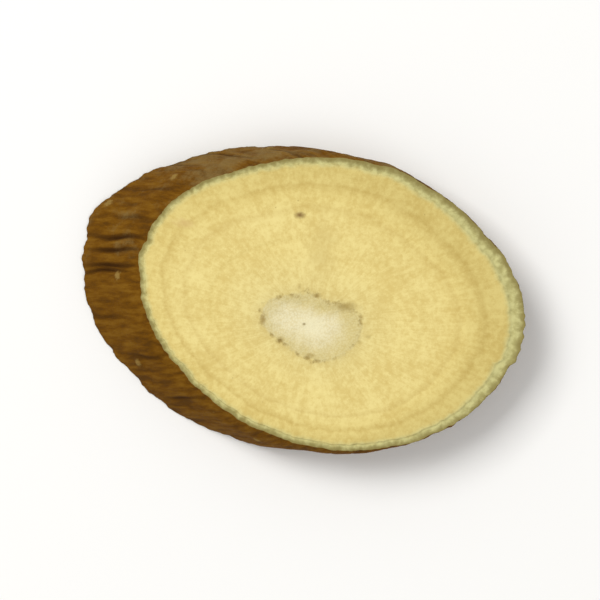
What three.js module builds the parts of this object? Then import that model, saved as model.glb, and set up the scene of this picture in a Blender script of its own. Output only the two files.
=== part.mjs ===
// A dried slice of mulberry twig, cut aslant. Bark, inner bark, wood and pith grew as one piece,
// so the slice is one closed solid. Units are millimetres, +Z is up, and +X runs along the long
// axis of the oval cut faces. The slice lies on its lower cut face, and the origin is under the
// middle of its outline, on the surface that it lies on.
import * as THREE from "three";

const { degToRad, lerp, clamp, smoothstep } = THREE.MathUtils;

// The twig and the two cuts
const TWIG_RADIUS = 7.6; // over the bark, at the slice's middle
const TAPER = 0.05; // radius gained per millimetre downwards
const CUT_ANGLE = degToRad(41.6); // how far the cuts are from square to the twig
const LEAN_TURN = degToRad(4.5); // which way the twig leans, from the oval's long axis
const THICKNESS = 3.2; // between the cut faces, at the middle
const TOP_SLOPE = { x: 0.012, y: -0.015 }; // the upper cut's rise per millimetre

// Lobes that keep the twig from being truly round: waves round it, height, angle of one crest
const LOBES = [
  { waves: 3, height: 0.085, crest: degToRad(41.5) },
  { waves: 4, height: 0.09, crest: degToRad(-1.5) },
  { waves: 5, height: 0.053, crest: degToRad(12) },
  { waves: 6, height: 0.02, crest: degToRad(22.5) },
];

// Pith: off centre, and in the cut a blunt kite, made of a circle with lobes
const PITH_CENTRE = { x: -0.95, y: -1.31 };
const PITH_RADIUS = 1.98;
const PITH_LOBES = [
  { waves: 1, height: 0.17, crest: degToRad(-42) },
  { waves: 2, height: 0.5, crest: degToRad(-5.5) },
  { waves: 3, height: 0.05, crest: degToRad(42) },
  { waves: 4, height: 0.12, crest: degToRad(8) },
  { waves: 5, height: 0.07, crest: degToRad(29) },
];
const PITH_SINK = 0.12; // it dries below the wood round it

// Wood: year rings as shallow grooves, each at a share of the way from pith to cambium
const RING_SHARES = [0.42, 0.69, 0.85];
const RING_GROOVE = 0.035;
const RING_HALF_WIDTH = 0.03; // as a share of the same way

// Inner bark: a paler ring, widest on one side, that dries below the wood
const INNER_BARK = { least: 0.32, most: 0.84, widestAt: degToRad(17), narrowing: 3 };
const BARK_SINK = 0.1;

// Rim: the bark draws in towards each cut, and its cut edge is a little ragged
const RIM_INSET = { upper: 0.25, lower: 0.05 };
const RIM_HEIGHT = 0.9;
const RIM_NICK = { height: 0.02, waves: 23, drift: 1.1 };

// Bark wrinkles run along the twig: waves round it, height, and turn per millimetre along it
const WRINKLES = [
  { waves: 11, height: 0.016, drift: 0.017 },
  { waves: 19, height: 0.016, drift: 0.011 },
  { waves: 27, height: 0.018, drift: 0.015 },
];
const BARK_SWELL = { height: 0.025, pitch: 4.3 }; // slow waves along the twig

// Low mounds on the bark, each at an angle round the twig and a depth below the upper cut. Their
// slopes end at this share of their half size.
const MOUND_FOOT = 1.4;
const LEAF_SCAR = { height: 0.25, halfRound: 1.1, halfAlong: 1.3 };
const LEAF_SCARS = [{ at: degToRad(165), below: 3 }];
const LENTICEL = { height: 0.08, halfRound: 0.5, halfAlong: 0.45 }; // the bark's corky pores
const LENTICELS = [
  { at: degToRad(143), below: 1.3 },
  { at: degToRad(187), below: 1.1 },
  { at: degToRad(160), below: 2.7 },
  { at: degToRad(222), below: 1.9 },
  { at: degToRad(262), below: 1.0 },
  { at: degToRad(301), below: 2.2 },
  { at: degToRad(338), below: 1.4 },
  { at: degToRad(17), below: 2.1 },
  { at: degToRad(48), below: 1.2 },
  { at: degToRad(108), below: 2.0 },
];

// Blank: a unit disc with the pith edge and the cambium at these radii, and its divisions
const PITH_EDGE = 0.22;
const CAMBIUM = 0.92;
const SIDES = 108;
const SIDE_ROWS = 12;

// Colours of the tissues on the solid
const WOOD_COLOUR = new THREE.Color("#e3cf82");
const OUTER_WOOD_COLOUR = new THREE.Color("#d8c173");
const PITH_COLOUR = new THREE.Color("#e8e1bf");
const INNER_BARK_COLOUR = new THREE.Color("#bdb684");
const BARK_COLOUR = new THREE.Color("#6b4713");

// Sum of a set of lobes at an angle.
function lobesAt(lobes, angle) {
  return lobes.reduce((sum, lobe) => sum + lobe.height * Math.cos(lobe.waves * (angle - lobe.crest)), 0);
}

// Distance of the twig's surface from its axis, before wrinkles, at an angle round it and a height.
function twigRadius(turn, z) {
  return TWIG_RADIUS + TAPER * (THICKNESS / 2 - z) + lobesAt(LOBES, turn);
}

// Distance along the twig's axis of a point of the bark at this angle and height.
function distanceAlong(turn, z) {
  const long = TWIG_RADIUS * Math.tan(CUT_ANGLE) * Math.cos(LEAN_TURN) * Math.cos(turn);
  const across = TWIG_RADIUS * Math.sin(CUT_ANGLE) * Math.sin(LEAN_TURN) * Math.sin(turn);
  return long + across + z / Math.cos(CUT_ANGLE);
}

// Height of the mounds of one size at a place of the bark.
function moundsAt(places, size, turn, along) {
  const heights = places.map(({ at, below }) => {
    const middle = distanceAlong(at, THICKNESS - below);
    const apart = Math.atan2(Math.sin(turn - at), Math.cos(turn - at));
    const round = (TWIG_RADIUS * apart) / size.halfRound;
    const reach = Math.hypot(round, (along - middle) / size.halfAlong);
    return size.height * (1 - smoothstep(reach, 0, MOUND_FOOT));
  });
  return Math.max(...heights);
}

// How far the bark stands out from the twig's plain surface.
function barkRelief(turn, along) {
  let relief = BARK_SWELL.height * Math.sin((2 * Math.PI * along) / BARK_SWELL.pitch + 2 * Math.cos(turn));
  for (const wrinkle of WRINKLES)
    relief += wrinkle.height * Math.sin(wrinkle.waves * (turn + wrinkle.drift * along));
  relief += moundsAt(LENTICELS, LENTICEL, turn, along);
  return relief + moundsAt(LEAF_SCARS, LEAF_SCAR, turn, along);
}

// Height of the upper cut plane over a point.
function upperCut(x, y) {
  return THICKNESS + TOP_SLOPE.x * x + TOP_SLOPE.y * y;
}

// How much of a rim's inset and nicks there is at a distance from its cut: 1 at the cut itself.
function rimShare(fromCut) {
  return (1 - clamp(fromCut / RIM_HEIGHT, 0, 1)) ** 2;
}

// Sideways shift of the leaning twig's axis at a height, from the middle of the slice.
function lean(z) {
  const shift = (z - THICKNESS / 2) * Math.tan(CUT_ANGLE);
  return { x: shift * Math.cos(LEAN_TURN), y: shift * Math.sin(LEAN_TURN) };
}

// A point of the bark at an angle round the twig and a share of the way up the side.
function sidePoint(turn, share) {
  const outward = { x: Math.cos(turn) / Math.cos(CUT_ANGLE), y: Math.sin(turn) };
  const top = upperCut(TWIG_RADIUS * outward.x, TWIG_RADIUS * outward.y) - BARK_SINK;
  const z = lerp(BARK_SINK, top, share);
  const along = distanceAlong(turn, z);
  const upperRim = rimShare(top - z);
  const lowerRim = rimShare(z - BARK_SINK);
  const inset = RIM_INSET.upper * upperRim + RIM_INSET.lower * lowerRim;
  const nick = RIM_NICK.height * Math.sin(RIM_NICK.waves * turn + RIM_NICK.drift * along);
  const rim = nick * (upperRim + lowerRim) - inset;
  const radius = twigRadius(turn, z) + barkRelief(turn, along) + rim;
  const axis = lean(z);
  return new THREE.Vector3(radius * outward.x + axis.x, radius * outward.y + axis.y, z);
}

// Distance from the pith's middle to its edge in a direction of the cut face.
function pithReach(direction) {
  return PITH_RADIUS + lobesAt(PITH_LOBES, direction);
}

// Width of the inner bark in the cut face at an angle round the twig.
function innerBarkWidth(turn) {
  const nearness = (1 + Math.cos(turn - INNER_BARK.widestAt)) / 2;
  return lerp(INNER_BARK.least, INNER_BARK.most, nearness ** INNER_BARK.narrowing);
}

// How far a cut face lies below its plane, at a radius of the blank.
function faceSink(radius, rings) {
  if (radius <= PITH_EDGE) return PITH_SINK * (1 - smoothstep(radius, 0.6 * PITH_EDGE, PITH_EDGE));
  if (radius >= CAMBIUM) return BARK_SINK * smoothstep(radius, CAMBIUM, lerp(CAMBIUM, 1, 0.25));
  const share = (radius - PITH_EDGE) / (CAMBIUM - PITH_EDGE);
  const groove = (ring) => 1 - smoothstep(Math.abs(share - ring), 0, RING_HALF_WIDTH);
  return rings ? RING_GROOVE * Math.max(...RING_SHARES.map(groove)) : 0;
}

// A point of a cut face at an angle round the twig and a radius of the blank.
function facePoint(turn, radius, upper) {
  const rim = sidePoint(turn, upper ? 1 : 0);
  const axis = lean(upper ? THICKNESS : 0);
  const middle = { x: PITH_CENTRE.x + axis.x, y: PITH_CENTRE.y + axis.y };
  const direction = Math.atan2(rim.y - middle.y, rim.x - middle.x);
  const reach = Math.hypot(rim.y - middle.y, rim.x - middle.x);
  const pith = pithReach(direction);
  const cambium = reach - innerBarkWidth(turn);
  let out = (pith * radius) / PITH_EDGE;
  if (radius > PITH_EDGE)
    out = lerp(pith, cambium, (radius - PITH_EDGE) / (CAMBIUM - PITH_EDGE));
  if (radius > CAMBIUM) out = lerp(cambium, reach, (radius - CAMBIUM) / (1 - CAMBIUM));
  const x = middle.x + out * Math.cos(direction);
  const y = middle.y + out * Math.sin(direction);
  const sink = faceSink(radius, upper);
  return new THREE.Vector3(x, y, upper ? upperCut(x - axis.x, y - axis.y) - sink : sink);
}

// Radii of the blank's rows between a cut face's middle and its rim.
function faceRows(woodShares) {
  const wood = woodShares.map((share) => lerp(PITH_EDGE, CAMBIUM, share));
  const innerBark = [CAMBIUM, lerp(CAMBIUM, 1, 0.25), lerp(CAMBIUM, 1, 0.65)];
  return [0, 0.5 * PITH_EDGE, 0.82 * PITH_EDGE, PITH_EDGE, ...wood, ...innerBark];
}

// Profile of the blank: the lower face outwards, the side upwards, the upper face inwards.
function blankProfile() {
  const grooves = RING_SHARES.flatMap((ring) => [ring - RING_HALF_WIDTH, ring, ring + RING_HALF_WIDTH]);
  const lower = faceRows([0.5]);
  const upper = faceRows([0.2, ...grooves]);
  const side = Array.from({ length: SIDE_ROWS }, (_, row) => {
    const share = row / (SIDE_ROWS - 1);
    return lerp(share, smoothstep(share, 0, 1), 0.6);
  });
  return [
    ...lower.map((radius) => new THREE.Vector2(radius, 0)),
    ...side.map((height) => new THREE.Vector2(1, height)),
    ...upper.reverse().map((radius) => new THREE.Vector2(radius, 1)),
  ];
}

// Colour of the tissue that shows at a place of the blank.
function tissueColour(radius, height) {
  if (radius > 0.999) return height > 0 && height < 1 ? BARK_COLOUR : INNER_BARK_COLOUR;
  if (radius < PITH_EDGE) return PITH_COLOUR;
  if (radius > CAMBIUM) return INNER_BARK_COLOUR;
  const share = smoothstep(radius, lerp(PITH_EDGE, CAMBIUM, RING_SHARES[1]), CAMBIUM);
  return WOOD_COLOUR.clone().lerp(OUTER_WOOD_COLOUR, share);
}

// The slice: a lathed blank whose vertices are moved to the twig's surface and cut faces.
function sliceGeometry() {
  const geometry = new THREE.LatheGeometry(blankProfile(), SIDES);
  const blank = geometry.getAttribute("position");
  const colours = new Float32Array(3 * blank.count);
  for (let i = 0; i < blank.count; i++) {
    const turn = Math.atan2(blank.getX(i), blank.getZ(i));
    const radius = Math.hypot(blank.getX(i), blank.getZ(i));
    const height = blank.getY(i);
    tissueColour(radius, height).toArray(colours, 3 * i);
    const onSide = radius > 0.9999;
    const point = onSide ? sidePoint(turn, height) : facePoint(turn, radius, height > 0.5);
    blank.setXYZ(i, point.x, point.y, point.z);
  }
  geometry.setAttribute("color", new THREE.BufferAttribute(colours, 3));
  geometry.computeBoundingBox();
  const { min, max } = geometry.boundingBox;
  geometry.translate(-(min.x + max.x) / 2, -(min.y + max.y) / 2, -min.z);
  geometry.computeVertexNormals();
  return geometry;
}

// Dried wood and bark, with the colour of each tissue in its vertices.
function twigMaterial() {
  return new THREE.MeshStandardMaterial({ vertexColors: true, roughness: 0.8, metalness: 0 });
}

function twigSlice() {
  const slice = new THREE.Mesh(sliceGeometry(), twigMaterial());
  slice.name = "twig_slice";
  return slice;
}

const mulberryTwigSlice = new THREE.Group();
mulberryTwigSlice.name = "mulberry_twig_slice";
mulberryTwigSlice.add(twigSlice());

export default mulberryTwigSlice;
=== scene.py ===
"""Dresses one dried slice of mulberry twig, cut aslant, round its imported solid.

Lengths are millimetres as on the real slice, and turn to metres where a mesh, lamp or camera is made.
The shape follows the same formulas as the solid, with finer relief, and so stays where the solid is.
"""
import logging
import math
from collections.abc import Sequence
from dataclasses import dataclass, field
from enum import Enum

import bpy
import numpy as np
from mathutils import Matrix, Vector, noise


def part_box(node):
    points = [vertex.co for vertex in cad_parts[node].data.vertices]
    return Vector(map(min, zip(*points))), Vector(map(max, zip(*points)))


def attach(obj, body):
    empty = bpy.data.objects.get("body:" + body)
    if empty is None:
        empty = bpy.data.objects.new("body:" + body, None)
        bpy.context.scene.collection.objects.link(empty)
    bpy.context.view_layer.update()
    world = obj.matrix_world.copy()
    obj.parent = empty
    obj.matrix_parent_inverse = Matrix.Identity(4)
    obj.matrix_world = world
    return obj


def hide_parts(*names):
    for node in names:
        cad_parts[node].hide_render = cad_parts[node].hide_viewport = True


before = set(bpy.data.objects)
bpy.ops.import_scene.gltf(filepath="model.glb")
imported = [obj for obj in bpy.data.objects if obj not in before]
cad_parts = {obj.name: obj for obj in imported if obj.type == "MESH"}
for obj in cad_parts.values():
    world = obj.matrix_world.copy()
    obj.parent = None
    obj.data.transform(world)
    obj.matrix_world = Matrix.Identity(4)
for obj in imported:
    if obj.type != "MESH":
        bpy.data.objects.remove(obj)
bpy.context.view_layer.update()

LOG = logging.getLogger("mulberry_twig")
Array = np.ndarray
Tree = bpy.types.NodeTree
Socket = bpy.types.NodeSocket
Stops = Sequence[tuple[float, str]]
Direction = tuple[float, float, float]
MM = 0.001  # metres in a millimetre
CAD_NODE = "twig_slice"

# Sockets of the Mix node when it mixes colours
MIX_A, MIX_B, MIX_COLOUR = 6, 7, 2

# A noise node gives values round its middle, and nearly all of them in this range
NOISE_MIDDLE = 0.5
NOISE_RANGE = (0.3, 0.7)

# In fractal noise, the power by which finer layers weaken, and how many times finer each is
FRACTAL_FALL, FRACTAL_STEP = 1.0, 2.0


class Cut(Enum):
    """The two cut faces of the slice."""

    LOWER = 0.0
    UPPER = 1.0


class Mark(Enum):
    """Names of the values that the mesh carries from its making to its finishes."""

    GROWTH = "growth"  # -1 pith middle, 0 pith edge, 1 cambium, 2 bark surface
    FROM_PITH = "from_pith"  # millimetres outwards from the pith's edge
    FROM_CAMBIUM = "from_cambium"  # millimetres outwards from the cambium
    UNDER_BARK = "under_bark"  # millimetres inwards from the rim of a cut face
    RELIEF = "bark_relief"  # millimetres that the bark stands out
    LENTICEL = "lenticel"  # 1 on a lenticel's cork, 0 off it
    FURROW = "furrow"  # 1 in the bottom of a furrow, 0 off it


class Patch(Enum):
    """Where in the noise a relief is sampled, in millimetres, so that no two on a face look alike."""

    BASE = 0.0
    WARP = 7.0
    SPONGE = 13.0
    FIBRES = 29.0
    GRAIN = 40.0
    NICKS = 60.0


def linear(hex_colour: str) -> tuple[float, float, float, float]:
    """Turns an sRGB hex colour to linear light.

    Args:
        hex_colour: The colour as "#rrggbb".

    Returns:
        Linear red, green, blue and an alpha of 1.
    """
    parts = [int(hex_colour[i : i + 2], 16) / 255 for i in (1, 3, 5)]
    light = [c / 12.92 if c <= 0.04045 else ((c + 0.055) / 1.055) ** 2.4 for c in parts]
    return (*light, 1.0)


def smooth(value: Array, low: float, high: float) -> Array:
    """Rises smoothly from 0 at low to 1 at high."""
    share = np.clip((value - low) / (high - low), 0, 1)
    return share * share * (3 - 2 * share)


def blend(low: Array | float, high: Array | float, share: Array | float) -> Array:
    """Goes in a straight line from low at share 0 to high at share 1."""
    return low + (high - low) * share


def fractal(places: Array, size: float, octaves: int = 3, patch: Patch = Patch.BASE) -> Array:
    """Samples smooth fractal noise.

    Args:
        places: Places in millimetres, with x, y, z in the last axis.
        size: Width of the largest blotches in millimetres.
        octaves: How many finer layers are added, each half the size of the last.
        patch: Which part of the noise is used.

    Returns:
        About -1 to 1 for each place.
    """
    flat = ((places + patch.value) / size).reshape(-1, 3).tolist()
    values = [noise.fractal(place, FRACTAL_FALL, FRACTAL_STEP, octaves) for place in flat]
    return np.array(values).reshape(places.shape[:-1])


def add_node(
    tree: Tree,
    kind: str,
    inputs: dict[str | int, object] | Sequence[object] = (),
    out: str | int = 0,
    stops: Stops = (),
    **settings: object,
) -> Socket | None:
    """Adds a node with its settings and links.

    Args:
        tree: The tree that the node goes into.
        kind: Blender's name for the node's type, without its "ShaderNode".
        inputs: A socket to link from, or a plain value, for the first inputs in order, or for
            each input by name or number.
        out: Name or number of the output that is wanted.
        stops: Position and hex colour of each stop of a colour ramp.
        **settings: Options of the node.

    Returns:
        The wanted output, or None where the node has no outputs.
    """
    node = tree.nodes.new("ShaderNode" + kind)
    for name, value in settings.items():
        setattr(node, name, value)
    named = inputs if isinstance(inputs, dict) else dict(enumerate(inputs))
    for name, value in named.items():
        if isinstance(value, Socket):
            tree.links.new(value, node.inputs[name])
        else:
            node.inputs[name].default_value = value
    if stops:
        elements = node.color_ramp.elements
        while len(elements) < len(stops):
            elements.new(1.0)
        for element, (position, colour) in zip(elements, stops):
            element.position, element.color = position, linear(colour)
    return node.outputs[out] if node.outputs else None


@dataclass(frozen=True)
class Lobe:
    """A slow wave in an outline: waves round it, height, and the angle of one crest in degrees."""

    waves: int
    height: float
    crest: float


def lobes_at(lobes: Sequence[Lobe], angle: Array) -> Array:
    """Returns the sum of a set of lobes at each angle."""
    return sum(lobe.height * np.cos(lobe.waves * (angle - math.radians(lobe.crest))) for lobe in lobes)


@dataclass(frozen=True)
class Wrinkle:
    """A set of fine waves in the bark: waves round it, height, and turn per millimetre along it."""

    waves: int
    height: float
    drift: float


@dataclass(frozen=True)
class Pore:
    """A lenticel, scar or furrow.

    Attributes:
        at: Angle round the twig in degrees.
        below: Depth below the upper cut.
        share: How much of the full height it has.
    """

    at: float
    below: float
    share: float = 1.0


@dataclass(frozen=True)
class Mound:
    """Size of a mound or furrow: its height, half its size round and along the twig, and its foot.

    The foot is where its slope ends, as a share of the half size.
    """

    height: float
    half: tuple[float, float]
    foot: float = 1.4


@dataclass
class Twig:
    """The twig's plain round form and the two slanting cuts.

    Attributes:
        radius: Over the bark, at the slice's middle.
        taper: Radius gained per millimetre downwards.
        cut_angle: How far the cuts are from square to the twig.
        lean_turn: Which way the twig leans, from the oval's long axis.
        thickness: Between the cut faces, at the middle.
        top_slope: The upper cut's rise per millimetre in x and y.
        lobes: Waves that keep the twig from being truly round.
        bark_sink: How far the dried bark lies back from each cut.
        upper_inset: How far the bark draws in at the upper cut.
        lower_inset: The same at the lower cut.
        rim_height: Distance from the cut over which it draws in.
    """

    radius: float = 7.6
    taper: float = 0.05
    cut_angle: float = math.radians(41.6)
    lean_turn: float = math.radians(4.5)
    thickness: float = 3.2
    top_slope: tuple[float, float] = (0.012, -0.015)
    lobes: tuple[Lobe, ...] = (
        Lobe(3, 0.085, 41.5), Lobe(4, 0.09, -1.5), Lobe(5, 0.053, 12), Lobe(6, 0.02, 22.5),
    )
    bark_sink: float = 0.1
    upper_inset: float = 0.25
    lower_inset: float = 0.05
    rim_height: float = 0.9

    def plain_radius(self, turn: Array, z: Array) -> Array:
        """Returns the radius before wrinkles at each angle round the twig and height."""
        return self.radius + self.taper * (self.thickness / 2 - z) + lobes_at(self.lobes, turn)

    def rim_share(self, from_cut: Array) -> Array:
        """Returns how much of a rim's inset there is: 1 at the cut and 0 past the rim's height."""
        return (1 - np.clip(from_cut / self.rim_height, 0, 1)) ** 2

    def lean(self, z: Array | float) -> Array:
        """Returns the sideways shift of the leaning axis at a height, as x and y."""
        shift = np.asarray((z - self.thickness / 2) * math.tan(self.cut_angle))
        return shift[..., None] * np.array([math.cos(self.lean_turn), math.sin(self.lean_turn)])

    def upper_cut(self, x: Array, y: Array) -> Array:
        """Returns the height of the upper cut over a point of it."""
        return self.thickness + self.top_slope[0] * x + self.top_slope[1] * y

    def along(self, turn: Array, z: Array) -> Array:
        """Finds how far along the twig a point of the bark is.

        Args:
            turn: Its angle round the twig.
            z: Its height.

        Returns:
            Millimetres along the twig's own axis.
        """
        long = math.tan(self.cut_angle) * math.cos(self.lean_turn) * np.cos(turn)
        across = math.sin(self.cut_angle) * math.sin(self.lean_turn) * np.sin(turn)
        return self.radius * (long + across) + z / math.cos(self.cut_angle)

    def surface(self, turn: Array, along: Array) -> Array:
        """Returns points of the plain round twig, its axis along z, where noise is sampled."""
        parts = np.broadcast_arrays(self.radius * np.cos(turn), self.radius * np.sin(turn), along)
        return np.stack(parts, axis=-1)


@dataclass
class BarkRelief:
    """The relief of the dried bark: wrinkles along the twig, furrows, lenticels and fine grain.

    Attributes:
        twig: The twig that the bark covers.
        twist: Turn of the fine ridges and furrows per millimetre along the twig.
        wrinkles: The broad waves that the solid has too.
        swell_height: Height of slow waves along the twig.
        swell_pitch: Length of one slow wave.
        swell_skew: How far that wave runs ahead on one side of the twig, in radians.
        ridge_width: Width of the fine ridges that run along the twig.
        ridge_height: Height of those ridges.
        ridge_level: How much of that height lies above the plain twig.
        grain_width: Width of the grain on the ridges.
        grain_height: Height of that grain.
        stretch: How many times longer than wide ridges are.
        leaf_scars: Places of the worn scars where leaves stood.
        leaf_scar: Size of one.
        lenticels: Places of the lenticels.
        lenticel: Size of one.
        furrows: Places of the furrows, the four deepest first.
        furrow: Size of one, cut in by its height.
        sway: How far a furrow's line wanders, in radians.
        sway_size: Length of one of its bends.
    """

    twig: Twig
    twist: float = 0.015
    wrinkles: tuple[Wrinkle, ...] = (
        Wrinkle(11, 0.016, 0.017), Wrinkle(19, 0.016, 0.011), Wrinkle(27, 0.018, 0.015),
    )
    swell_height: float = 0.025
    swell_pitch: float = 4.3
    swell_skew: float = 2.0
    ridge_width: float = 0.7
    ridge_height: float = 0.055
    ridge_level: float = 0.35
    grain_width: float = 0.3
    grain_height: float = 0.02
    stretch: float = 4.5
    leaf_scars: tuple[Pore, ...] = (Pore(165, 3.0),)
    leaf_scar: Mound = Mound(0.25, (1.1, 1.3))
    lenticels: tuple[Pore, ...] = (
        Pore(143, 1.3), Pore(187, 1.1), Pore(160, 2.7), Pore(222, 1.9), Pore(262, 1.0),
        Pore(301, 2.2), Pore(338, 1.4), Pore(17, 2.1), Pore(48, 1.2), Pore(108, 2.0),
    )
    lenticel: Mound = Mound(0.08, (0.42, 0.38))
    furrows: tuple[Pore, ...] = (
        Pore(172.3, 1.4), Pore(177, 1.5), Pore(183.4, 1.6), Pore(186, 2.0),
        Pore(204, 2.3, 0.35), Pore(219, 1.0, 0.5), Pore(238, 1.4, 0.7), Pore(243, 2.5, 0.4),
        Pore(262, 2.2, 0.35), Pore(283, 1.9, 0.6), Pore(288, 0.7, 0.4), Pore(309, 2.4, 0.5),
        Pore(322, 1.2, 0.7), Pore(341, 2.1, 0.4), Pore(5, 1.8, 0.6), Pore(12, 2.6, 0.45),
        Pore(33, 1.0, 0.4), Pore(51, 2.3, 0.5), Pore(66, 1.5, 0.65), Pore(71, 0.8, 0.4),
        Pore(93, 2.0, 0.35), Pore(108, 0.9, 0.4), Pore(121, 2.2, 0.6), Pore(134, 2.6, 0.4),
        Pore(151, 1.8, 0.35), Pore(163, 1.2, 0.4),
    )
    furrow: Mound = Mound(0.085, (0.15, 1.9), 1.3)
    sway: float = 0.02
    sway_size: float = 1.8

    def share_at(self, pores: Sequence[Pore], size: Mound, turn: Array, along: Array) -> Array:
        """Finds how much of a mound's or furrow's full height each place has.

        Args:
            pores: Where they are.
            size: The size of one.
            turn: Angles round the twig.
            along: Distances along the twig.

        Returns:
            1 at a middle, falling to 0 past its foot.
        """
        total = np.zeros(np.broadcast_shapes(turn.shape, along.shape))
        for pore in pores:
            middle = math.radians(pore.at)
            ahead = along - self.twig.along(np.array(middle), self.twig.thickness - pore.below)
            angle = turn - middle + self.twist * ahead
            round_twig = self.twig.radius * np.arctan2(np.sin(angle), np.cos(angle))
            reach = np.hypot(round_twig / size.half[0], ahead / size.half[1])
            total = np.maximum(total, pore.share * (1 - smooth(reach, 0, size.foot)))
        return total

    def lenticel_share(self, turn: Array, along: Array) -> Array:
        """Returns how much of a lenticel is at each place of the bark."""
        return self.share_at(self.lenticels, self.lenticel, turn, along)

    def furrow_share(self, turn: Array, along: Array) -> Array:
        """Returns how much of a furrow is at each place, with its line a little crooked."""
        sway = fractal(self.twig.surface(turn, along), self.sway_size, 2) * self.sway
        return self.share_at(self.furrows, self.furrow, turn + sway, along)

    def height(self, turn: Array, along: Array) -> Array:
        """Finds how far the bark stands out of the plain twig.

        Args:
            turn: Angles round the twig.
            along: Distances along the twig.

        Returns:
            Millimetres at each place.
        """
        phase = 2 * math.pi * along / self.swell_pitch + self.swell_skew * np.cos(turn)
        relief = self.swell_height * np.sin(phase)
        for wrinkle in self.wrinkles:
            relief = relief + wrinkle.height * np.sin(wrinkle.waves * (turn + wrinkle.drift * along))
        relief = relief + self.lenticel.height * self.lenticel_share(turn, along)
        scar = self.leaf_scar.height * self.share_at(self.leaf_scars, self.leaf_scar, turn, along)
        return relief + scar + self.fine_height(turn, along)

    def fine_height(self, turn: Array, along: Array) -> Array:
        """Finds the relief that is finer than the solid's: ridges, grain and furrows.

        Args:
            turn: Angles round the twig.
            along: Distances along the twig.

        Returns:
            Millimetres at each place.
        """
        places = self.twig.surface(turn + self.twist * along, along) / (1, 1, self.stretch)
        ridges = self.ridge_height * (self.ridge_level - np.abs(fractal(places, self.ridge_width)))
        grain = self.grain_height * fractal(places, self.grain_width, 3, Patch.GRAIN)
        return ridges + grain - self.furrow.height * self.furrow_share(turn, along)


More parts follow.
